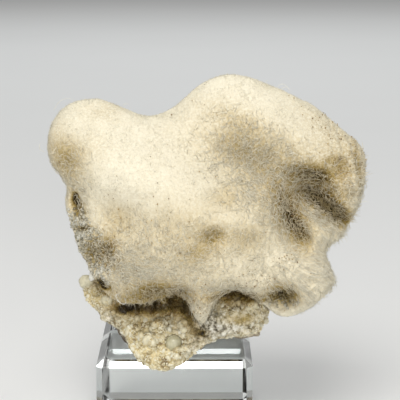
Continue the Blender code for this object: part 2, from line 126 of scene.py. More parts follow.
# Painted shade and stains on the felt: mostly painted shade in the hollow, the valley, pits, holes,
# crevices and under the lip, and partly real stains
FELT_SHADE_AND_GRIME = [
    ("hollow", 42.0, 87.6, 4.2, 1.9, -10.0, 0.46),
    ("hollow right", 45.8, 86.2, 2.4, 1.7, -30.0, 0.26),
    ("hollow tail", 43.2, 80.2, 3.2, 1.5, -36.0, 0.24),
    ("black arm", 48.8, 76.4, 5.6, 1.9, -40.0, 1.00),
    ("brown arm", 36.2, 75.6, 2.0, 5.0, 26.0, 0.50),
    ("brown arm foot", 39.6, 69.6, 1.6, 3.2, 30.0, 0.36),
    ("valley core", 19.6, 95.6, 3.6, 2.4, -20.0, 0.10),
    ("valley", 22.0, 97.0, 9.0, 4.6, -24.0, 0.05),
    ("valley top", 23.0, 102.6, 4.0, 2.0, -20.0, 0.05),
    ("valley right", 35.0, 96.0, 9.0, 4.0, -8.0, 0.03),
    ("band", 29.4, 86.8, 3.6, 6.0, 36.0, 0.05),
    ("first ring dimple", 48.7, 91.8, 2.0, 1.3, 0.0, 0.12),
    ("second ring dimple", 52.2, 89.6, 1.7, 2.4, 10.0, 0.16),
    ("ring", 57.6, 90.2, 0.7, 4.6, 10.0, 0.24),
    ("below the ledge", 54.6, 81.6, 3.4, 1.3, 10.0, 0.10),
    ("round pit", 33.8, 50.4, 2.7, 2.3, 0.0, 0.80),
    ("right crevice", 21.0, 49.2, 6.0, 1.0, -6.0, 0.60),
    ("lip left", -8.0, 48.6, 7.5, 2.2, 6.0, 0.40),
    ("lip corner", 0.6, 49.6, 2.4, 1.4, 40.0, 0.50),
    ("lip shade", -6.4, 53.0, 4.6, 2.0, 6.0, 0.38),
    ("left hole", -30.8, 79.0, 0.7, 1.3, 0.0, 1.20),
    ("left stain", -29.9, 75.8, 1.3, 2.2, 20.0, 0.34),
    ("crystal holes", -28.4, 70.0, 1.8, 0.6, 24.0, 0.60),
    ("green pocket", -25.4, 62.6, 2.0, 3.6, -16.0, 0.38),
    ("brown pocket", -20.3, 64.2, 1.4, 2.6, -8.0, 0.45),
    ("low hole", -22.6, 51.0, 1.1, 0.8, 0.0, 1.20),
    ("upper low hole", -24.0, 52.8, 1.0, 0.8, 0.0, 1.00),
    ("left dimple", -16.8, 75.2, 4.0, 3.2, -30.0, 0.10),
    ("left grey", -33.2, 92.0, 3.6, 4.0, 0.0, 0.24),
    ("grey dimple", 16.1, 82.8, 3.2, 2.2, 0.0, 0.10),
    ("brown dimple", 12.7, 70.9, 2.0, 1.6, 0.0, 0.14),
    ("belly grey", 7.6, 66.2, 3.6, 2.4, 20.0, 0.14),
    ("belly", 3.0, 75.0, 10.0, 6.0, 0.0, 0.07),
    ("right grey", 22.6, 69.8, 3.4, 3.4, 0.0, 0.12),
]

# Warm tan stain
FELT_TAN = [
    ("left crown", -21.0, 107.0, 5.0, 2.0, 6.0, 0.30),
    ("left flank", -37.0, 97.4, 3.0, 4.0, 0.0, 0.35),
    ("left saddle", -25.7, 96.5, 6.0, 3.0, 10.0, 0.20),
    ("right crown", 18.0, 106.0, 7.0, 2.6, -16.0, 0.30),
    ("right shoulder", 48.0, 101.6, 10.0, 3.0, -38.0, 0.35),
    ("valley", 26.0, 95.0, 16.0, 6.0, -16.0, 0.35),
    ("brown dimple", 12.7, 70.9, 3.0, 2.4, 0.0, 0.70),
    ("belly", 0.0, 66.0, 22.0, 11.0, 0.0, 0.24),
    ("tongue", 7.8, 51.0, 6.0, 7.0, 0.0, 0.18),
    ("hollow", 43.0, 83.0, 9.0, 7.0, 0.0, 0.60),
    ("arm ridge", 50.0, 79.4, 4.0, 2.0, -40.0, 0.55),
    ("brown arm", 36.4, 75.2, 4.0, 7.0, 24.0, 0.55),
    ("ring", 53.0, 90.0, 5.5, 5.0, 0.0, 0.45),
    ("spur", 44.0, 58.0, 9.0, 5.0, 0.0, 0.10),
    ("left edge", -30.4, 74.0, 2.6, 8.0, 8.0, 0.55),
    ("brown pocket", -20.0, 64.0, 3.0, 5.0, 0.0, 0.60),
    ("lower left rim", -24.0, 50.0, 4.0, 4.0, 0.0, 0.60),
]

# Loose felt, where more wisps lie on top and where LOOSE_SHADE paints shade into the felt and needles
FELT_LOOSE = [
    ("valley", 24.0, 94.0, 14.0, 8.0, -20.0, 0.45),
    ("right flank", 29.0, 82.0, 6.0, 12.0, 24.0, 0.45),
    ("belly", -2.0, 64.0, 20.0, 10.0, 0.0, 0.35),
    ("lower right", 36.0, 53.0, 12.0, 5.0, 0.0, 0.35),
    ("spur", 44.0, 59.0, 7.0, 4.0, 0.0, 0.05),
    ("silk face", 46.0, 70.0, 7.0, 3.4, -34.0, 0.40),
    ("left flank", -30.0, 88.0, 5.0, 8.0, 0.0, 0.35),
    ("right edge", 54.0, 82.0, 6.0, 8.0, 0.0, 0.25),
    ("left comb", -14.0, 60.0, 5.0, 4.0, 0.0, 0.60),
    ("tongue", 8.0, 50.0, 6.0, 6.0, 0.0, 0.20),
]

# Broken, uneven felt: the strength is a share of FELT_BREAKS
FELT_BROKEN = [
    ("hollow", 44.0, 81.0, 7.0, 6.0, -30.0, 0.9),
    ("arms", 44.0, 74.0, 9.0, 5.0, -20.0, 0.8),
    ("left edge", -29.5, 74.0, 3.0, 10.0, 8.0, 1.0),
    ("low left edge", -25.0, 58.0, 4.0, 9.0, 10.0, 1.2),
    ("spur", 44.0, 56.0, 8.0, 5.0, 0.0, 0.7),
    ("lower right", 36.0, 48.0, 10.0, 4.0, 10.0, 1.3),
    ("lip", -6.0, 48.0, 12.0, 2.4, 4.0, 1.5),
    ("tongue", 7.0, 46.0, 4.0, 5.0, 0.0, 1.3),
    ("ring", 53.0, 88.0, 5.0, 5.0, 0.0, 0.4),
    ("right outline", 57.0, 92.0, 4.0, 12.0, 16.0, 0.9),
    ("right notch", 54.0, 66.0, 5.0, 6.0, 0.0, 0.9),
]
BROKEN_MOST = 1.8
FELT_BREAKS = [(3.2, 0.75), (1.7, 0.55)]

# Broken places with little felt: the strength is the share bared
FELT_BARE = [
    ("left edge", -31.0, 72.0, 2.6, 9.0, 10.0, 0.90),
    ("low left edge", -25.0, 58.0, 3.6, 8.0, 12.0, 0.90),
    ("round pit", 33.9, 49.6, 3.6, 3.0, 0.0, 0.80),
    ("lower right", 40.0, 50.0, 12.0, 4.0, 30.0, 0.55),
    ("spur", 46.0, 57.0, 7.0, 5.0, 0.0, 0.55),
    ("silk face", 46.0, 70.0, 8.0, 4.0, -34.0, 0.45),
    ("lip", -6.0, 48.0, 9.0, 2.6, 6.0, 0.60),
    ("tongue", 7.4, 46.4, 4.0, 4.0, 0.0, 0.40),
]

# Fields of long fibres: the spot's place, widths and turn, the fan's centre as x and z, a count
FIBRE_FIELDS = [
    ("hollow fan", 46.0, 71.6, 7.0, 3.8, -34.0, 34.0, 86.0, 520),
    ("hollow bridge", 43.8, 81.6, 3.2, 1.6, -36.0, 50.0, 90.0, 90),
    ("black arm", 48.8, 76.4, 5.0, 1.6, -40.0, 40.0, 90.0, 50),
    ("hollow", 42.0, 87.0, 4.0, 2.2, -10.0, 60.0, 100.0, 40),
    ("spur fan", 43.0, 58.6, 9.5, 5.0, 0.0, 22.0, 66.0, 700),
    ("white streak", 38.2, 54.8, 4.4, 1.3, -52.0, 32.0, 63.0, 180),
    ("lower right silk", 25.0, 51.6, 8.0, 1.8, -6.0, 22.0, 66.0, 200),
    ("left combed", -13.0, 60.6, 4.6, 3.4, 0.0, -60.0, 64.0, 300),
    ("lip silk", -6.0, 50.0, 8.0, 2.4, 4.0, -10.0, 76.0, 300),
    ("tongue silk", 7.6, 47.0, 3.4, 4.0, 0.0, 8.0, 70.0, 110),
    ("right rim", 57.5, 84.0, 2.4, 8.0, 0.0, 40.0, 84.0, 180),
]
FIBRE_LENGTH = (1.8, 4.6)
FIBRE_WIDTH = (0.07, 0.13)
FIBRE_SPREAD = 0.16
FIBRE_RISE = (3.0, 18.0)
FIBRE_LEAST = 0.12

# Needles: lengths and radii in millimetres, tilts in degrees from upright
NEEDLE_SEED = 5
HAIR_TAPER = (0.8, 1.4)
NAP_PIECES = 3
NAP_COUNT = 34000
NAP_LENGTH = (0.45, 1.0)
NAP_WIDTH = (0.035, 0.06)
NAP_TILT = (35.0, 80.0)
NAP_ROOT = 0.12
NAP_COMBING = (0.7, 4.0)
LOOSE_SHADE = 0.09
SPOT_SUM_MOST = 1.2
WISP_COUNT = 7500
WISP_LENGTH = (1.4, 3.6)
WISP_WIDTH = (0.07, 0.125)
WISP_TILT = (66.0, 88.0)
WISP_LIFT = (0.05, 0.35)
WISP_CURL = 0.9
WISP_MOST = 0.5
CLEAN_SHARE = 0.12
BACK_SHARE = 0.45
COVER_REACH = 0.8

# Hairs that stand out of the outline: points as x, y, z
STRAY_HAIRS = [
    ("left crown hair", [(-37.0, -24, 106.4), (-35.4, -24, 109.0), (-32.5, -24, 110.3), (-30.0, -24, 109.4)]),
    ("saddle loop", [(-16.2, -21, 106.2), (-15.4, -22, 108.0), (-14.0, -22, 108.1), (-13.2, -21, 106.4)]),
    ("left curl", [(-39.6, -27, 93.8), (-41.2, -28, 95.0), (-41.0, -28, 96.6), (-39.8, -27, 97.0)]),
    ("crown hair", [(28.8, -20, 113.6), (29.0, -20, 115.0), (29.6, -20, 115.5)]),
    ("right crown curl", [(31.8, -22, 113.0), (33.6, -22, 114.4), (35.6, -22, 113.4), (36.6, -22, 111.4)]),
    ("right crown curl two", [(33.0, -23, 112.4), (34.8, -23, 113.6), (36.4, -23, 112.4)]),
    ("right hair", [(57.2, -26, 76.2), (58.8, -26, 77.6), (60.6, -26, 78.0), (61.4, -26, 77.0)]),
    ("right hair two", [(57.4, -26, 78.6), (59.2, -26, 78.8), (60.2, -26, 79.8)]),
    ("low right hair", [(52.8, -28, 67.0), (54.0, -28, 66.2), (54.6, -28, 65.0)]),
    ("spur hair", [(40.4, -34, 45.6), (40.8, -34, 44.0), (39.8, -34, 43.2)]),
    ("left rim tuft", [(-21.8, -22, 40.4), (-22.8, -22, 39.0), (-22.6, -22, 37.8)]),
    ("left rim tuft two", [(-21.8, -22, 40.2), (-21.9, -22, 38.6)]),
]
STRAY_WIDTH = 0.07

# Pale curls that lie on the felt: points as x, z
SURFACE_CURLS = [
    ("lip curl", [(-8.6, 49.6), (-6.6, 50.8), (-4.6, 50.2), (-3.4, 48.6)]),
    ("lip curl two", [(-9.4, 51.6), (-7.6, 50.2), (-5.6, 50.0)]),
    ("streak", [(35.6, 58.6), (37.4, 56.0), (39.4, 53.4), (40.8, 51.0)]),
    ("edge curl", [(-28.0, 57.6), (-26.4, 56.0), (-25.8, 53.6)]),
]
CURL_LIFT = 0.5
SEAT_DEPTH = -28.0

# A glassy oval ring below the left of the lip, and a pale sheet on the left edge: x, z, half
# length, half width, turn in degrees, thickness
OVAL_RING = (-16.4, 48.4, 2.0, 1.0, -48.0, 0.13)
PALE_SHEET = (-25.5, 54.3, 2.3, 1.1, 62.0, 0.4)

# Dirt specks on the felt
FELT_SPECKS = [
    ("tongue", 7.6, 49.6, 3.4, 4.4, 0.0, 1.0),
    ("spur specks", 34.8, 62.3, 2.6, 1.6, 0.0, 1.2),
    ("lower specks", 25.1, 55.8, 4.0, 2.0, 10.0, 0.8),
    ("belly", 2.0, 70.0, 20.0, 10.0, 0.0, 0.12),
    ("right shoulder", 50.0, 99.0, 8.0, 2.0, -38.0, 0.45),
    ("ring", 55.0, 88.0, 4.0, 5.0, 0.0, 0.4),
    ("left pocket", -20.4, 64.2, 3.0, 4.0, 0.0, 0.8),
    ("brown arm", 37.6, 72.4, 3.0, 4.0, 20.0, 0.8),
]
SPECK_COUNT = 1000
SPECK_SIZE = (0.09, 0.25)
SPECK_LIFT = 0.35
CLEAN_SPECKS = 0.005

# Glassy crystals on the broken left edge
EDGE_CRYSTALS = [
    ("upper edge", -29.8, 73.0, 2.0, 3.0, 10.0, 0.7),
    ("glassy patch", -28.0, 68.6, 2.6, 3.4, 0.0, 1.0),
    ("green pocket", -25.4, 61.8, 2.4, 4.2, -16.0, 1.1),
    ("lower edge", -25.0, 54.4, 2.4, 3.4, 0.0, 1.0),
    ("round pit", 34.0, 48.6, 3.4, 2.6, 0.0, 0.6),
    ("brown pocket", -20.6, 61.0, 1.6, 4.0, -8.0, 0.5),
]
EDGE_COUNT = 1300
EDGE_SIZE = (0.20, 0.75)
EDGE_LEAST = 0.2

# Rock
ROCK_SEED = 3
ROCK_VOXEL = 0.85
ROCK_LAYERS = [(9.0, 1.1), (3.4, 0.7), (1.5, 0.4)]
ROCK_FOOT = 27.0
ROCK_FADE = 3.0

# Pits in the rock: spacing, radius as a share of the spacing, depth
ROCK_PITS = (6.0, 0.33, 1.5)
PITTED_PATCHES = [(11.0, 2.4)]
PITTED_LEAST = 0.2

# Pale crystals on the rock: patches of them, and their share in the pits and elsewhere
CRYSTAL_PATCHES = [(14.0, 2.0)]
CRYSTAL_SHARES = (0.8, 0.04)
ROCK_CRYSTAL_COUNT = 1800
ROCK_CRYSTAL_SIZE = (0.18, 0.70)

# Crust of small crystals: lumps as (width, height)
CRUST_VOXEL = 0.5
CRUST_SMOOTHING = 5
CRUST_LUMPS = [(3.4, 0.9), (1.5, 0.30)]
GRAIN_SEED = 9
SMALL_GRAINS = 7200
SMALL_SIZE = (0.16, 0.42)
LARGE_GRAINS = 620
LARGE_SIZE = (0.50, 1.15)
LARGE_SINK = 0.2
CRUST_OUT = outward(0.0, 40.0)

# Painted shadow on the crust: darkness painted into its colour in the cave under the lip, in the crevices and
# seams and at the tip
CRUST_SHADE = [
    ("cave left", -11.0, 41.8, 5.0, 1.5, 0.0, 0.70),
    ("cave middle", -2.0, 42.8, 4.6, 2.1, 0.0, 0.75),
    ("wedge", 4.6, 40.6, 1.6, 3.8, 18.0, 0.64),
    ("slot", -15.8, 41.8, 2.2, 1.0, 0.0, 0.90),
    ("tip shade", 8.9, 35.2, 1.2, 0.8, 0.0, 0.80),
    ("right crevice", 18.0, 47.4, 8.0, 1.4, 0.0, 0.90),
    ("left seam", -22.0, 47.2, 3.0, 0.9, -30.0, 0.60),
]
CRUST_GREY = [
    ("right rim", 17.0, 38.6, 10.0, 3.2, 8.0, 1.00),
    ("tongue foot", 10.4, 38.8, 2.0, 3.2, 0.0, 0.90),
    ("left border", -20.5, 37.8, 3.6, 2.6, -34.0, 0.75),
    ("grey bead", -28.8, 49.2, 2.6, 2.2, 0.0, 0.80),
    ("right border", 6.6, 31.4, 3.4, 1.2, 40.0, 0.50),
]
CRUST_GOLD = [
    ("first gold", 18.7, 41.0, 2.6, 1.0, 0.0, 0.70),
    ("second gold", 23.4, 40.8, 1.9, 1.1, 0.0, 0.80),
    ("yellow rim", -26.0, 46.0, 3.4, 2.2, -30.0, 0.30),
]

# Rounded crystals sunk in the crust: name, x, z, radius, squeeze, paleness
CRUST_BEADS = [
    ("grey bead", -28.8, 49.0, 2.4, 0.5, 0.25),
    ("yellow bead", -21.8, 44.4, 1.9, 0.4, 0.45),
    ("left bead", -8.2, 33.8, 1.9, 0.45, 0.55),
    ("right bead", 2.9, 35.2, 1.6, 0.4, 0.50),
]
BEAD_SINK = 0.45
BEAD_DENTS = 0.16
SHEET_DENTS = 0.25
ROUND_LEVEL = 3

GLOBE_LEVEL = 4
GLOBE_SWELL = 1.04
GLOBE_DENTS = 0.03

# Worn edges of the block: width in millimetres, least angle in degrees
WEAR_WIDTH = 0.25
WEAR_ANGLE = 20.0

# Materials
GLASSY_IOR = 1.5
ACRYLIC_IOR = 1.49
CREAM = (0.88, 0.835, 0.69)
PALE_TAN = (0.67, 0.59, 0.42)
DRUSE_PALE = (0.91, 0.85, 0.63)
CRUST_GOLD_TONE = (0.50, 0.38, 0.13)

# How the cream turns to brown as the painted shade and grime grows, as shares of its red, green and blue
SHADE_AND_STAIN_STOPS = [(0.0, (1.0, 1.0, 1.0)), (0.25, (0.72, 0.64, 0.49)), (0.5, (0.42, 0.33, 0.14)),
               (0.8, (0.16, 0.12, 0.050)), (1.0, (0.05, 0.036, 0.018))]


def read_threes(elements, name, kind=np.float32):
    """A row of three values for each element of a mesh."""
    values = np.empty(len(elements) * 3, kind)
    elements.foreach_get(name, values)
    return values.reshape(-1, 3)


def read_places(item):
    """Corner positions of an object's mesh, in millimetres."""
    return read_threes(item.data.vertices, "co").astype(float) / MM


def write_places(item, places):
    item.data.vertices.foreach_set("co", (places * MM).astype(np.float32).ravel())
    item.data.update()


def read_normals(item):
    return read_threes(item.data.vertex_normals, "vector").astype(float)


def read_triangles(item):
    item.data.calc_loop_triangles()
    return read_threes(item.data.loop_triangles, "vertices", np.int32)


def add_object(name, data):
    item = bpy.data.objects.new(name, data)
    bpy.context.scene.collection.objects.link(item)
    return item


def mesh_object(name, places, triangles):
    """An object from corner places in millimetres and triangles."""
    mesh = bpy.data.meshes.new(name)
    mesh.vertices.add(len(places))
    mesh.loops.add(3 * len(triangles))
    mesh.polygons.add(len(triangles))
    mesh.vertices.foreach_set("co", (places * MM).astype(np.float32).ravel())
    mesh.loops.foreach_set("vertex_index", triangles.astype(np.int32).ravel())
    mesh.polygons.foreach_set("loop_start", np.arange(0, 3 * len(triangles), 3, dtype=np.int32))
    mesh.update(calc_edges=True)
    return add_object(name, mesh)


def write_attribute(item, name, values):
    attribute = item.data.attributes.new(name, "FLOAT", "POINT")
    attribute.data.foreach_set("value", np.asarray(values, np.float32))


def shade_smooth(item):
    item.data.polygons.foreach_set("use_smooth", np.ones(len(item.data.polygons), bool))
    item.data.update()


def bake(item):
    graph = bpy.context.evaluated_depsgraph_get()
    mesh = bpy.data.meshes.new_from_object(item.evaluated_get(graph))
    item.modifiers.clear()
    item.data = mesh
    return item


def refined_copy(name, node, voxel, smoothing):
    """A finer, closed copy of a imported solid."""
    item = add_object(name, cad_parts[node].data.copy())
    item.data.materials.clear()
    step = item.modifiers.new("one skin", "REMESH")
    step.mode = "VOXEL"
    step.voxel_size = voxel * MM
    step = item.modifiers.new("soften", "SMOOTH")
    step.factor = 0.5
    step.iterations = smoothing
    return bake(item)


def unit(vectors):
    return vectors / np.maximum(np.linalg.norm(vectors, axis=-1, keepdims=True), 1e-9)


def turned(u, v, turn):
    """Two coordinates turned by an angle in degrees."""
    angle = math.radians(turn)
    return u * math.cos(angle) - v * math.sin(angle), u * math.sin(angle) + v * math.cos(angle)


def soft_spot(places, centre_x, centre_z, along, across, turn):
    u, v = turned(places[:, 0] - centre_x, places[:, 2] - centre_z, -turn)
    return np.exp(-0.5 * ((u / along) ** 2 + (v / across) ** 2))


def spot_sum(places, spots):
    """The sum of named soft spots at each place."""
    total = np.zeros(len(places))
    for _, centre_x, centre_z, along, across, turn, strength in spots:
        total += strength * soft_spot(places, centre_x, centre_z, along, across, turn)
    return total


def front_share(normals):
    """1 where a surface faces the front of the specimen, 0 where it faces back."""
    facing = normals @ np.array(FELT_OUT)
    share = np.clip((facing + 0.25) / 0.6, 0.0, 1.0)
    return share * share * (3.0 - 2.0 * share)


def rough_layers(places, layers, ridged):
    """Noise summed over (wavelength, height) layers, in millimetres."""
    total = np.zeros(len(places))
    for index, (wavelength, height) in enumerate(layers):
        offset = Vector((5.3, 2.9, 7.1)) * (index + 1)
        for corner, place in enumerate(places):
            point = Vector(place) / wavelength + offset
            value = noise.noise(point)
            if ridged:
                value = 0.5 - 2.0 * abs(value)
            total[corner] += value * height
    return total


def cell_distances(places, spacing):
    """How far each place is from the nearest of scattered points, as a share of their spacing."""
    return np.array([noise.voronoi(Vector(place) / spacing)[0][0] for place in places])


def lumps(places, layers):
    """Rounded lumps like clustered crystals, summed over (width, height) layers."""
    total = np.zeros(len(places))
    for width, height in layers:
        distance = cell_distances(places, width)
        total += height * (np.sqrt(np.maximum(0.0, 1.0 - distance * distance)) - 0.6)
    return total


def tree_of(item):
    return BVHTree.FromPolygons(read_places(item).tolist(), read_triangles(item).tolist())


def covered_share(places, tree, reach):
    """1 where a place lies within reach of another solid, else 0."""
    near = [tree.find_nearest(Vector(place), reach)[0] is not None for place in places]
    return np.array(near, float)


class Surface:
    """Random, weighted points on a mesh."""

    def __init__(self, item, weights):
        self.places = read_places(item)
        self.normals = read_normals(item)
        self.triangles = read_triangles(item)
        a, b, c = (self.places[self.triangles[:, k]] for k in range(3))
        area = 0.5 * np.linalg.norm(np.cross(b - a, c - a), axis=1)
        self.area = area * weights[self.triangles].mean(axis=1)

    def draw(self, random, count):
        share = np.cumsum(self.area)
        picks = np.searchsorted(share, random.random(count) * share[-1])
        picks = np.minimum(picks, len(self.triangles) - 1)
        u, v = random.random(count), random.random(count)
        over = u + v > 1.0
        u[over], v[over] = 1.0 - u[over], 1.0 - v[over]
        mix = np.stack((1.0 - u - v, u, v), axis=1)[:, :, None]
        corners = self.triangles[picks]
        places = (self.places[corners] * mix).sum(axis=1)
        return places, unit((self.normals[corners] * mix).sum(axis=1))


def tapered_hairs(name, spines, widths, sides=3):
    """Closed hairs along spines (hair, station, 3) that taper to a point at the last station."""
    count, stations = spines.shape[:2]
    along = unit(spines[:, -1] - spines[:, 0])
    side = unit(np.cross(along, np.roll(along, 1, axis=1) + np.array((0.3, 0.7, 0.2))))
    other = np.cross(along, side)
    rings = []
    for station in range(stations - 1):
        share = 1.0 - HAIR_TAPER[0] * (station / (stations - 1)) ** HAIR_TAPER[1]
        for turn in range(sides):
            angle = math.tau * turn / sides
            spoke = side * math.cos(angle) + other * math.sin(angle)
            rings.append(spines[:, station] + spoke * (widths * share)[:, None])
    rings.append(spines[:, -1])
    places = np.stack(rings, axis=1)
    tip = sides * (stations - 1)
    faces = [(0, turn + 1, turn) for turn in range(1, sides - 1)]
    for station in range(stations - 2):
        low, high = station * sides, (station + 1) * sides
        for turn in range(sides):
            after = (turn + 1) % sides
            faces.append((low + turn, low + after, high + after))
            faces.append((low + turn, high + after, high + turn))
    last = (stations - 2) * sides
    faces += [(last + turn, last + (turn + 1) % sides, tip) for turn in range(sides)]
    offsets = np.arange(count) * (tip + 1)
    triangles = (np.array(faces)[None] + offsets[:, None, None]).reshape(-1, 3)
    item = mesh_object(name, places.reshape(-1, 3), triangles)
    station_share = np.repeat(np.arange(stations - 1) / (stations - 1), sides)
    heights = np.append(station_share, 1.0)
    write_attribute(item, "height", np.tile(heights, count))
    return item, tip + 1


def tangents(normals, random):
    """A random direction along the surface at each normal."""
    return unit(np.cross(normals, unit(random.normal(size=normals.shape))))


def combed(places, wavelength):
    """A slowly turning direction at each place, so that needles lie in tufts."""
    return np.array([noise.noise_vector(Vector(place) / wavelength) for place in places])


def leaning(normals, sideways, tilt):
    return normals * np.cos(tilt)[:, None] + sideways * np.sin(tilt)[:, None]


def felt_values(item, places, each, random, lift=0.0, loose_shade=0.0):
    """Give a needle piece the painted shade and grime, tan and brightness of the felt it grows on."""
    shade_and_grime = np.clip(spot_sum(places, FELT_SHADE_AND_GRIME), 0.0, SPOT_SUM_MOST)
    shade_and_grime += loose_shade * np.clip(spot_sum(places, FELT_LOOSE), 0.0, 1.0)
    tan = np.clip(spot_sum(places, FELT_TAN), 0.0, 1.0)
    bright = random.random(len(places)) + lift
    for name, values in (("shade_and_grime", shade_and_grime), ("tan", tan), ("bright", bright)):
        write_attribute(item, name, np.repeat(values, each))


def dress(item, material):
    item.data.materials.clear()
    item.data.materials.append(material)
    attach(item, BODY)


class Nodes:
    """A new material, and short calls for building its nodes."""

    def __init__(self, name, roughness, specular=None, clear=0.0, ior=GLASSY_IOR):
        self.material = bpy.data.materials.new(name)
        self.material.use_nodes = True
        self.tree = self.material.node_tree
        self.shader = self.tree.nodes["Principled BSDF"]
        self.shader.inputs["Roughness"].default_value = roughness
        if specular is not None:
            self.shader.inputs["Specular IOR Level"].default_value = specular
        if clear:
            self.shader.inputs["Transmission Weight"].default_value = clear
            self.shader.inputs["IOR"].default_value = ior

    def put(self, node, name, value):
        """Set an input to a number or a colour, or link it to a socket or to a stored value by name."""
        if isinstance(value, str):
            value = self.attribute(value)
        if isinstance(value, bpy.types.NodeSocket):
            self.tree.links.new(value, node.inputs[name])
        else:
            node.inputs[name].default_value = (*value, 1.0) if isinstance(value, tuple) else value

    def add(self, kind, **inputs):
        node = self.tree.nodes.new(kind)
        for name, value in inputs.items():
            self.put(node, name, value)
        return node

    def painted(self, colour):
        """The finished material, in the given colour."""
        self.put(self.shader, "Base Color", colour)
        return self.material

    def attribute(self, name):
        node = self.add("ShaderNodeAttribute")
        node.attribute_name = name
        return node.outputs["Fac"]

    def part(self, name, factor):
        """A share of a stored value, held between 0 and 1."""
        return self.math("MULTIPLY", name, factor, clamp=True)

    def place(self):
        return self.add("ShaderNodeTexCoord").outputs["Object"]

    def noise(self, scale, detail=3.0, roughness=0.6):
        node = self.add("ShaderNodeTexNoise", Vector=self.place(), Scale=scale, Detail=detail,
                        Roughness=roughness)
        return node.outputs["Fac"]

    def cells(self, scale):
        return self.add("ShaderNodeTexVoronoi", Vector=self.place(), Scale=scale).outputs["Distance"]

    def ramp(self, value, stops):
        node = self.add("ShaderNodeValToRGB", Fac=value)
        elements = node.color_ramp.elements
        while len(elements) < len(stops):
            elements.new(0.5)
        for element, (place, colour) in zip(elements, stops):
            element.position = place
            element.color = (*colour, 1.0) if isinstance(colour, tuple) else (colour,) * 3 + (1.0,)
        return node.outputs["Color"]

    def math(self, operation, a, b, clamp=False):
        node = self.add("ShaderNodeMath")
        node.operation = operation
        node.use_clamp = clamp
        self.put(node, 0, a)
        self.put(node, 1, b)
        return node.outputs["Value"]

    def mix(self, share, a, b, blend="MIX"):
        node = self.add("ShaderNodeMix")
        node.data_type = "RGBA"
        node.blend_type = blend
        for index, value in ((0, share), (6, a), (7, b)):
            self.put(node, index, value)
        return node.outputs[2]

    def times(self, a, b):
        return self.mix(1.0, a, b, "MULTIPLY")

    def bump(self, height, strength, distance):
        node = self.add("ShaderNodeBump", Height=height, Strength=strength, Distance=distance)
        self.put(self.shader, "Normal", node.outputs["Normal"])


def shaded_and_stained(nodes, shade_and_grime, tan):
    """Cream felt under tan stain, grime and painted shade."""
    base = nodes.mix(nodes.math("MULTIPLY", tan, 0.8), CREAM, PALE_TAN)
    return nodes.times(base, nodes.ramp(shade_and_grime, SHADE_AND_STAIN_STOPS))


def felt_material():
    """The felt between the needles, darker and browner than they are where it is stained or painted with
    shade.
    """
    nodes = Nodes("felt", 0.95, specular=0.03)
    patchy = nodes.math("ADD", nodes.math("MULTIPLY", nodes.noise(320.0), 1.2), 0.75)
    shade_and_grime = nodes.math("MULTIPLY", "shade_and_grime", patchy)
    speckle = nodes.ramp(nodes.noise(1500.0, 2.0), [(0.42, 0.30), (0.62, 0.0)])
    speckle = nodes.math("MULTIPLY", speckle, nodes.math("ADD", "tan", 0.15))
    shade_and_grime = nodes.math("ADD", shade_and_grime, speckle, clamp=True)
    broken = nodes.ramp(nodes.noise(420.0), [(0.3, 0.4), (0.7, 1.0)])
    nodes.bump(nodes.noise(2300.0), 0.5, 0.0002)
    return nodes.painted(shaded_and_stained(nodes, shade_and_grime, nodes.math("MULTIPLY", "tan", broken)))


def needle_material():
    """Silky needles: paler towards the tip, with less painted shade and grime than the felt below them."""
    nodes = Nodes("needles", 0.55, specular=0.12)
    depth = nodes.math("SUBTRACT", 1.0, nodes.part("height", 0.3))
    colour = shaded_and_stained(nodes, nodes.part("shade_and_grime", depth), nodes.part("tan", 0.7))
    light = nodes.ramp("bright", [(0.0, 0.62), (0.55, 0.95), (1.0, 1.0)])
    patchy = nodes.ramp(nodes.noise(380.0), [(0.36, 0.88), (0.6, 1.0)])
    return nodes.painted(nodes.times(colour, nodes.times(light, patchy)))


def wisp_material():
    """White wisps that lie on top and take little of the painted shade and grime."""
    nodes = Nodes("white wisps", 0.5, specular=0.3)
    colour = shaded_and_stained(nodes, nodes.part("shade_and_grime", 0.4), nodes.part("tan", 0.25))
    return nodes.painted(nodes.times(colour, nodes.ramp("bright", [(0.0, 0.86), (1.0, 1.0)])))


def build_felt():
    felt = refined_copy("mesolite_felt", "mesolite_mass", FELT_VOXEL, FELT_SMOOTHING)
    places, normals = read_places(felt), read_normals(felt)
    front = front_share(normals)
    lift = spot_sum(places, FELT_RELIEF) * front
    shift = np.array(FELT_OUT) * lift[:, None]
    broken = np.clip(spot_sum(places, FELT_BROKEN), 0.0, BROKEN_MOST) * front
    swell = rough_layers(places, FELT_TUFTS, False) + rough_layers(places, FELT_BREAKS, True) * broken
    write_places(felt, places + shift + normals * (swell - FELT_DEPTH)[:, None])
    shade_smooth(felt)
    # Painted shade and grime: the felt is darker in the shaded spots and where it is loose
    shade_and_grime = spot_sum(places, FELT_SHADE_AND_GRIME) + 1.3 * LOOSE_SHADE * spot_sum(places, FELT_LOOSE)
    write_attribute(felt, "shade_and_grime", np.clip(shade_and_grime * front, 0.0, SPOT_SUM_MOST))
    write_attribute(felt, "tan", np.clip(spot_sum(places, FELT_TAN), 0.0, 1.0))
    dress(felt, felt_material())
    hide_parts("mesolite_mass")
    return felt


def nap_weights(felt):
    """Where needles grow: thick in front, thinner behind, none against the rock or crust."""
    places, normals = read_places(felt), read_normals(felt)
    weights = BACK_SHARE + (1.0 - BACK_SHARE) * front_share(normals)
    bare = np.clip(spot_sum(places, FELT_BARE), 0.0, 0.95) * front_share(normals)
    weights *= 1.0 - bare
    for node in ("matrix", "druse_crust"):
        weights *= 1.0 - covered_share(places, tree_of(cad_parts[node]), COVER_REACH)
    return weights


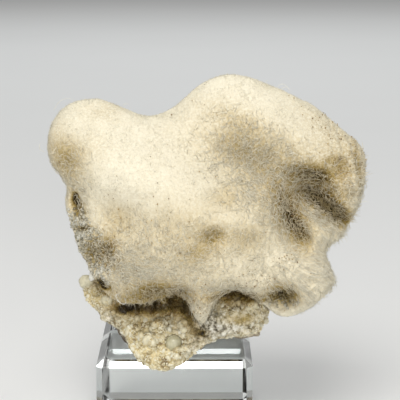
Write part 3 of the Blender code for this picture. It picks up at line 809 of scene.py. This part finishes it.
def build_nap(surface, random, material):
    combing, wavelength = NAP_COMBING
    for index in range(NAP_PIECES):
        places, normals = surface.draw(random, NAP_COUNT)
        length = random.uniform(*NAP_LENGTH, NAP_COUNT)
        tilt = np.radians(random.uniform(*NAP_TILT, NAP_COUNT))
        sideways = unit(tangents(normals, random) + combing * combed(places, wavelength))
        way = leaning(normals, sideways, tilt)
        roots = places - normals * NAP_ROOT
        spines = np.stack((roots, roots + way * length[:, None]), axis=1)
        nap, each = tapered_hairs(f"needle_nap_{index + 1}", spines, random.uniform(*NAP_WIDTH, NAP_COUNT))
        felt_values(nap, places, each, random, loose_shade=LOOSE_SHADE)
        dress(nap, material)


def build_wisps(felt, weights, random, material):
    """Longer bent needles that lie across the nap, most of them where the felt is loose."""
    corners = read_places(felt)
    loose = spot_sum(corners, FELT_LOOSE) + 0.4 * spot_sum(corners, FELT_SHADE_AND_GRIME) - CLEAN_SHARE
    loose = np.clip(loose, 0.0, WISP_MOST)
    places, normals = Surface(felt, weights * loose).draw(random, WISP_COUNT)
    length = random.uniform(*WISP_LENGTH, WISP_COUNT)
    tilt = np.radians(random.uniform(*WISP_TILT, WISP_COUNT))
    way = leaning(normals, tangents(normals, random), tilt)
    curl = np.cross(normals, way) * random.uniform(-WISP_CURL, WISP_CURL, WISP_COUNT)[:, None]
    roots = places + normals * random.uniform(*WISP_LIFT, WISP_COUNT)[:, None]
    middle = roots + way * (0.5 * length)[:, None] + curl * (0.35 * length)[:, None] + normals * 0.10
    tips = roots + way * length[:, None] - normals * (0.12 * length)[:, None]
    spines = np.stack((roots, middle, tips), axis=1)
    wisps, each = tapered_hairs("felted_wisps", spines, random.uniform(*WISP_WIDTH, WISP_COUNT))
    felt_values(wisps, places, each, random)
    dress(wisps, material)


def build_fibres(felt, weights, random, material):
    """Long silky fibres that fan out across the broken faces."""
    spines, roots, widths = [], [], []
    corners = read_places(felt)
    front = front_share(read_normals(felt))
    for _, x, z, along, across, turn, fan_x, fan_z, count in FIBRE_FIELDS:
        field = soft_spot(corners, x, z, along, across, turn) * front * (weights > 0.0)
        places, normals = Surface(felt, field * (field > FIBRE_LEAST)).draw(random, count)
        away = places - np.array((fan_x, 0.0, fan_z))
        away[:, 1] = 0.0
        away = unit(unit(away) + random.normal(0.0, FIBRE_SPREAD, away.shape))
        away = unit(away - normals * (away * normals).sum(axis=1, keepdims=True))
        length = random.uniform(*FIBRE_LENGTH, count)
        rise = np.radians(random.uniform(*FIBRE_RISE, count))
        way = away * np.cos(rise)[:, None] + normals * np.sin(rise)[:, None]
        start = places - normals * 0.1
        middle = start + way * (0.5 * length)[:, None]
        end = start + away * length[:, None] + normals * (np.sin(rise) * length * 0.5)[:, None]
        spines.append(np.stack((start, middle, end), axis=1))
        roots.append(places)
        widths.append(random.uniform(*FIBRE_WIDTH, count))
    fibres, each = tapered_hairs("silky_fibres", np.concatenate(spines), np.concatenate(widths))
    felt_values(fibres, np.concatenate(roots), each, random)
    dress(fibres, material)


def smooth_path(points, count):
    """Points along a smooth path through the given ones."""
    points = np.array(points, float)
    steps = np.linspace(0.0, len(points) - 1.0, count)
    low = np.minimum(steps.astype(int), len(points) - 2)
    share = (steps - low)[:, None]
    before, after = points[np.maximum(low - 1, 0)], points[np.minimum(low + 2, len(points) - 1)]
    start, end = points[low], points[low + 1]
    slope_in, slope_out = 0.5 * (end - before), 0.5 * (after - start)
    cube, square = share ** 3, share ** 2
    return (start * (2 * cube - 3 * square + 1) + end * (3 * square - 2 * cube)
            + slope_in * (cube - 2 * square + share) + slope_out * (cube - square))


def on_surface(tree, points):
    """Points given as x and z, laid just over the front of a surface."""
    return [seat(tree, x, z) - Vector((0.0, CURL_LIFT, 0.0)) for x, z in points]


def build_stray_hairs(tree, random, material):
    paths = [points for _, points in STRAY_HAIRS]
    paths += [on_surface(tree, points) for _, points in SURFACE_CURLS]
    spines = np.array([smooth_path(points, 9) for points in paths])
    hairs, each = tapered_hairs("stray_hairs", spines, np.full(len(spines), STRAY_WIDTH))
    felt_values(hairs, spines[:, 0], each, random, 0.5)
    dress(hairs, material)


def oval_place(centre, half_length, half_width, turn, angle):
    """A place on an upright, turned oval about a centre."""
    x, z = turned(half_length * math.cos(angle), half_width * math.sin(angle), turn)
    return Vector(centre) + Vector((x, 0.0, z))


def build_oval_ring(tree, material):
    """The glassy ring, a thin tube round an oval."""
    x, z, half_length, half_width, turn, thickness = OVAL_RING
    centre = seat(tree, x, z) - Vector((0.0, 3.0 * CURL_LIFT, 0.0))
    stations, sides = 32, 6
    places, triangles = [], []
    for station in range(stations):
        middle = oval_place(centre, half_length, half_width, turn, math.tau * station / stations)
        away = (middle - centre).normalized()
        low, high = station * sides, (station + 1) % stations * sides
        for side in range(sides):
            lean, beside = math.tau * side / sides, (side + 1) % sides
            places.append(middle + away * thickness * math.cos(lean)
                          + Vector((0.0, thickness * math.sin(lean), 0.0)))
            triangles.append((low + side, high + side, high + beside))
            triangles.append((low + side, high + beside, low + beside))
    ring = mesh_object("oval_ring", np.array(places), np.array(triangles))
    shade_smooth(ring)
    dress(ring, material)


def build_pale_sheet(tree, material):
    """A thin pale flake on the broken left edge."""
    x, z, half_length, half_width, turn, thickness = PALE_SHEET
    centre = seat(tree, x, z)
    radii = (half_length, thickness, half_width)
    places, faces = rounded_crystal((0.0, 0.0, 0.0), radii, SHEET_DENTS, ROUND_LEVEL)
    places[:, 0], places[:, 2] = turned(places[:, 0], places[:, 2], turn)
    sheet = mesh_object("pale_sheet", places + np.array(centre), faces)
    dress(sheet, material)


def glassy_material():
    nodes = Nodes("glassy white", 0.2, clear=0.25)
    colour = nodes.ramp(nodes.noise(700.0), [(0.35, (0.74, 0.73, 0.65)), (0.6, (0.93, 0.92, 0.86))])
    return nodes.painted(colour)


def speck_material():
    nodes = Nodes("dirt specks", 0.8)
    return nodes.painted(nodes.ramp("bright", [(0.0, (0.18, 0.11, 0.045)), (0.5, (0.38, 0.26, 0.11)),
                                               (1.0, (0.56, 0.42, 0.20))]))


def build_specks(felt, weights, random):
    places, normals = read_places(felt), read_normals(felt)
    share = (spot_sum(places, FELT_SPECKS) + CLEAN_SPECKS) * front_share(normals) * (weights > 0.0)
    roots, out = Surface(felt, share).draw(random, SPECK_COUNT)
    specks = scattered_crystals("dirt_specks", roots + out * SPECK_LIFT, random, SPECK_SIZE)
    dress(specks, speck_material())


def edge_material():
    """Glassy grey-white crystals where the felt is broken away, darkened by the felt's painted shade and
    grime.
    """
    nodes = Nodes("edge crystals", 0.25, clear=0.3)
    tone = nodes.ramp("bright", [(0.0, (0.30, 0.28, 0.20)), (0.35, (0.62, 0.59, 0.47)),
                                 (1.0, (0.90, 0.89, 0.80))])
    return nodes.painted(nodes.times(tone, nodes.ramp(nodes.part("shade_and_grime", 0.8), SHADE_AND_STAIN_STOPS)))


def build_edge_crystals(felt, random):
    places, normals = read_places(felt), read_normals(felt)
    share = np.clip(spot_sum(places, EDGE_CRYSTALS), 0.0, SPOT_SUM_MOST) * front_share(normals)
    roots, _ = Surface(felt, share * (share > EDGE_LEAST)).draw(random, EDGE_COUNT)
    crystals = scattered_crystals("edge_crystals", roots, random, EDGE_SIZE)
    # The painted shade and grime of the felt under each crystal
    shade_and_grime = np.clip(spot_sum(roots, FELT_SHADE_AND_GRIME), 0.0, SPOT_SUM_MOST)
    write_attribute(crystals, "shade_and_grime", np.repeat(shade_and_grime, len(crystal_form()[0])))
    dress(crystals, edge_material())


def build_mesolite():
    random = np.random.default_rng(NEEDLE_SEED)
    felt = build_felt()
    weights = nap_weights(felt)
    surface = Surface(felt, weights)
    wisps = wisp_material()
    build_nap(surface, random, needle_material())
    build_wisps(felt, weights, random, wisps)
    build_fibres(felt, weights, random, wisps)
    tree = tree_of(felt)
    build_stray_hairs(tree, random, wisps)
    build_specks(felt, weights, random)
    build_edge_crystals(felt, random)
    glassy = glassy_material()
    build_oval_ring(tree, glassy)
    build_pale_sheet(tree, glassy)


def rock_material():
    nodes = Nodes("rock", 0.92, specular=0.15)
    patches = nodes.ramp(nodes.noise(70.0, 5.0), [(0.36, (0.12, 0.095, 0.07)), (0.5, (0.30, 0.25, 0.18)),
                                                 (0.66, (0.50, 0.43, 0.32))])
    grains = nodes.ramp(nodes.cells(900.0), [(0.0, 0.50), (0.5, 1.0)])
    cream = nodes.ramp(nodes.noise(190.0, 6.0, 0.7), [(0.54, 0.0), (0.62, 1.0)])
    colour = nodes.times(patches, grains)
    colour = nodes.mix(nodes.math("MULTIPLY", cream, 0.8), colour, (0.70, 0.63, 0.47))
    nodes.bump(nodes.noise(900.0, 4.0), 0.9, 0.0007)
    # Darker in the pits: painted shade in the recesses
    return nodes.painted(nodes.times(colour, nodes.ramp("pit", [(0.0, 1.0), (0.6, 0.35)])))


def pit_share(places, spacing, reach):
    """1 in the middle of each scattered pit, 0 outside them."""
    return np.maximum(0.0, 1.0 - (cell_distances(places, spacing) / reach) ** 2)


def build_rock():
    """The rock, with pits and small pale crystals in them and along its back."""
    random = np.random.default_rng(ROCK_SEED)
    rock = refined_copy("matrix_rock", "matrix", ROCK_VOXEL, 1)
    places, normals = read_places(rock), read_normals(rock)
    foot = np.clip((places[:, 2] - ROCK_FOOT) / ROCK_FADE, 0.0, 1.0)
    spacing, reach, depth = ROCK_PITS
    pitted = np.clip(rough_layers(places, PITTED_PATCHES, False) + PITTED_LEAST, 0.0, 1.0)
    pits = pit_share(places, spacing, reach) * pitted
    rough = np.minimum(rough_layers(places, ROCK_LAYERS, True), 0.1) - depth * pits
    places += normals * (rough * foot)[:, None]
    write_places(rock, places)
    write_attribute(rock, "pit", pits)
    dress(rock, rock_material())
    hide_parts("matrix")
    patchy = np.clip(rough_layers(places, CRYSTAL_PATCHES, False), 0.0, 1.0)
    in_pits, elsewhere = CRYSTAL_SHARES
    roots, _ = Surface(rock, (patchy + in_pits * pits + elsewhere) * foot).draw(random, ROCK_CRYSTAL_COUNT)
    crystals = scattered_crystals("rock_crystals", roots, random, ROCK_CRYSTAL_SIZE)
    dress(crystals, rock_crystal_material())


def rock_crystal_material():
    nodes = Nodes("rock crystals", 0.35)
    return nodes.painted(nodes.ramp("bright", [(0.0, (0.30, 0.25, 0.17)), (0.5, (0.66, 0.59, 0.42)),
                                               (1.0, (0.86, 0.82, 0.70))]))


def crust_values(item, places, each):
    """Give a piece of the crust its painted shadow, greyness and gold."""
    for name, spots in (("shade_and_grime", CRUST_SHADE), ("grey", CRUST_GREY), ("gold", CRUST_GOLD)):
        write_attribute(item, name, np.repeat(np.clip(spot_sum(places, spots), 0.0, SPOT_SUM_MOST), each))


def crust_colour(nodes, base):
    """A base tone turned grey or gold in places and darkened by painted shadow."""
    grit = nodes.ramp(nodes.noise(620.0), [(0.42, (0.12, 0.10, 0.06)), (0.50, (0.58, 0.54, 0.43)),
                                           (0.60, (0.92, 0.90, 0.83))])
    colour = nodes.mix(nodes.part("grey", 0.9), base, grit)
    colour = nodes.mix(nodes.part("gold", 0.8), colour, CRUST_GOLD_TONE)
    return nodes.times(colour, nodes.ramp("shade_and_grime", SHADE_AND_STAIN_STOPS))


def druse_ground_material():
    nodes = Nodes("drusy ground", 0.7)
    tone = nodes.ramp(nodes.noise(420.0, 4.0), [(0.34, (0.20, 0.14, 0.06)), (0.46, (0.50, 0.40, 0.20)),
                                                (0.60, (0.78, 0.68, 0.42))])
    nodes.bump(nodes.cells(1100.0), 0.7, 0.0003)
    return nodes.painted(crust_colour(nodes, tone))


def grain_material():
    nodes = Nodes("drusy grains", 0.3, clear=0.15)
    tone = nodes.ramp("bright", [(0.0, (0.36, 0.27, 0.12)), (0.15, (0.80, 0.71, 0.46)),
                                 (0.5, DRUSE_PALE), (1.0, (0.96, 0.94, 0.80))])
    return nodes.painted(crust_colour(nodes, tone))


def build_druse():
    random = np.random.default_rng(GRAIN_SEED)
    ground = refined_copy("drusy_ground", "druse_crust", CRUST_VOXEL, CRUST_SMOOTHING)
    places, normals = read_places(ground), read_normals(ground)
    facing = np.clip(normals @ np.array(CRUST_OUT) + 0.5, 0.0, 1.0)
    places += normals * (lumps(places, CRUST_LUMPS) * facing)[:, None]
    write_places(ground, places)
    shade_smooth(ground)
    crust_values(ground, places, 1)
    dress(ground, druse_ground_material())
    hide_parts("druse_crust")
    weights = np.clip(read_normals(ground) @ np.array(CRUST_OUT) + 0.85, 0.0, 1.0)
    surface = Surface(ground, weights)
    material = grain_material()
    for name, count, sizes, level, sink in (("drusy_grains", SMALL_GRAINS, SMALL_SIZE, 1, 0.0),
                                            ("drusy_clusters", LARGE_GRAINS, LARGE_SIZE, 2, LARGE_SINK)):
        roots, out = surface.draw(random, count)
        grains = scattered_crystals(name, roots - out * sink, random, sizes, level)
        crust_values(grains, roots, len(crystal_form(level)[0]))
        dress(grains, material)
    build_beads(tree_of(ground), random)


def crystal_form(level=1):
    """A unit icosphere's corners and faces: an icosahedron at level 1."""
    shape = bmesh.new()
    bmesh.ops.create_icosphere(shape, subdivisions=level, radius=1.0)
    corners = np.array([corner.co[:] for corner in shape.verts])
    faces = np.array([[corner.index for corner in face.verts] for face in shape.faces])
    shape.free()
    return corners, faces


def scattered_crystals(name, roots, random, sizes, level=1):
    """Small blocky crystals, each squeezed and turned its own way."""
    corners, faces = crystal_form(level)
    count = len(roots)
    size = sizes[0] + (sizes[1] - sizes[0]) * random.random(count) ** 2
    squeeze = random.uniform(0.6, 1.25, (count, 1, 3))
    axis = unit(random.normal(size=(count, 3)))
    second = unit(np.cross(axis, unit(random.normal(size=(count, 3)))))
    turn = np.stack((axis, second, np.cross(axis, second)), axis=1)
    shaken = corners[None] * squeeze * random.uniform(0.85, 1.15, (count, len(corners), 1))
    places = roots[:, None] + (shaken * size[:, None, None]) @ turn
    triangles = (faces[None] + (np.arange(count) * len(corners))[:, None, None]).reshape(-1, 3)
    item = mesh_object(name, places.reshape(-1, 3), triangles)
    write_attribute(item, "bright", np.repeat(random.random(count), len(corners)))
    return item


def seat(tree, x, z):
    """The front-most place of a surface at x and z, or the nearest one beside it."""
    hit = tree.ray_cast(Vector((x, -120.0, z)), Vector((0.0, 1.0, 0.0)))[0]
    return hit or tree.find_nearest(Vector((x, SEAT_DEPTH, z)))[0]


def rounded_crystal(centre, radii, roughness, level):
    """Corners and faces of one rounded, faintly dented crystal."""
    corners, faces = crystal_form(level)
    shift = Vector(centre) * 0.7
    dents = []
    for corner in corners:
        place = Vector(corner)
        dents.append(noise.noise(place * 2.2 + shift) + 0.4 * noise.noise(place * 5.5 + shift))
    swell = 1.0 + roughness * np.array(dents)
    return np.array(centre) + corners * np.array(radii) * swell[:, None], faces


def bead_material():
    nodes = Nodes("rounded crystals", 0.3, clear=0.12)
    tone = nodes.ramp("bright", [(0.0, (0.62, 0.60, 0.46)), (0.6, (0.88, 0.81, 0.58)),
                                 (1.0, (0.94, 0.92, 0.82))])
    veil = nodes.ramp(nodes.noise(900.0), [(0.35, 0.78), (0.62, 1.0)])
    nodes.bump(nodes.noise(1500.0), 0.5, 0.0002)
    return nodes.painted(nodes.times(tone, veil))


def build_beads(tree, random):
    """Rounded translucent crystals half sunk in the crust."""
    places, faces, tones = [], [], []
    corners = 0
    for _, x, z, radius, squeeze, pale in CRUST_BEADS:
        centre = seat(tree, x, z)
        radii = (radius, radius * squeeze, radius * random.uniform(0.85, 1.0))
        centre.y += BEAD_SINK * radii[1]
        bead, bead_faces = rounded_crystal(centre, radii, BEAD_DENTS, ROUND_LEVEL)
        places.append(bead)
        faces.append(bead_faces + corners)
        tones.append(np.full(len(bead), pale))
        corners += len(bead)
    beads = mesh_object("rounded_crystals", np.concatenate(places), np.concatenate(faces))
    write_attribute(beads, "bright", np.concatenate(tones))
    shade_smooth(beads)
    dress(beads, bead_material())


def globe_material():
    nodes = Nodes("globe crystal", 0.22, clear=0.35)
    colour = nodes.ramp(nodes.noise(500.0), [(0.35, (0.68, 0.65, 0.44)), (0.65, (0.86, 0.83, 0.63))])
    return nodes.painted(colour)


def build_globe():
    low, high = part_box("globe_crystal")
    centre = (low + high) / (2.0 * MM)
    radius = (high.x - low.x) / (2.0 * MM) * GLOBE_SWELL
    places, faces = rounded_crystal(centre, (radius, radius, radius), GLOBE_DENTS, GLOBE_LEVEL)
    globe = mesh_object("globe", places, faces)
    shade_smooth(globe)
    dress(globe, globe_material())
    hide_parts("globe_crystal")


def acrylic_material():
    nodes = Nodes("clear acrylic", 0.03, clear=1.0, ior=ACRYLIC_IOR)
    scuffs = nodes.ramp(nodes.noise(60.0, 8.0, 0.75), [(0.50, 0.02), (0.72, 0.20)])
    nodes.put(nodes.shader, "Roughness", scuffs)
    return nodes.painted((0.955, 0.985, 0.975))


def dress_block():
    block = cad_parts["display_block"]
    block.data.materials.clear()
    block.data.materials.append(acrylic_material())
    step = block.modifiers.new("worn edges", "BEVEL")
    step.width = WEAR_WIDTH * MM
    step.segments = 2
    step.limit_method = "ANGLE"
    step.angle_limit = math.radians(WEAR_ANGLE)


def build_floor():
    nodes = Nodes("floor", 0.8, specular=0.0)
    darker = tuple(0.985 * channel for channel in FLOOR_COLOUR)
    colour = nodes.ramp(nodes.noise(3.0), [(0.3, darker), (0.7, FLOOR_COLOUR)])
    half = 0.5 * FLOOR_SIZE / MM
    places = np.array([(-1, -1, 0), (1, -1, 0), (1, 1, 0), (-1, 1, 0)]) * half
    places[:, 2] = -FLOOR_DROP
    floor = mesh_object("floor", places, np.array([(0, 1, 2), (0, 2, 3)]))
    floor.data.materials.append(nodes.painted(colour))


def build_lights():
    world = bpy.data.worlds.new("studio")
    world.use_nodes = True
    background = world.node_tree.nodes["Background"]
    background.inputs["Color"].default_value = (*WORLD_COLOUR, 1.0)
    background.inputs["Strength"].default_value = WORLD_STRENGTH
    bpy.context.scene.world = world
    subject = Vector(SUBJECT) * MM
    for name, azimuth, elevation, distance, width, power, colour in LIGHTS:
        away = outward(azimuth, elevation)
        light = bpy.data.lights.new(name, "AREA")
        light.size = width
        light.energy = power
        light.color = colour
        lamp = add_object(name, light)
        lamp.location = subject + away * distance
        lamp.rotation_euler = (-away).to_track_quat("-Z", "Y").to_euler()
        lamp.visible_camera = False


def build_camera():
    camera = bpy.data.cameras.new("camera")
    camera.lens = CAMERA_LENS
    camera.sensor_width = CAMERA_SENSOR
    camera.clip_start = 0.01
    camera.clip_end = 50.0
    item = add_object("camera", camera)
    item.location = Vector(CAMERA_PLACE) * MM
    item.rotation_euler = (math.pi / 2.0 - CAMERA_PITCH, 0.0, -CAMERA_TURN)
    bpy.context.scene.camera = item


bpy.context.scene.view_settings.view_transform = "Standard"
build_camera()
build_lights()
build_floor()
dress_block()
build_rock()
build_druse()
build_globe()
build_mesolite()
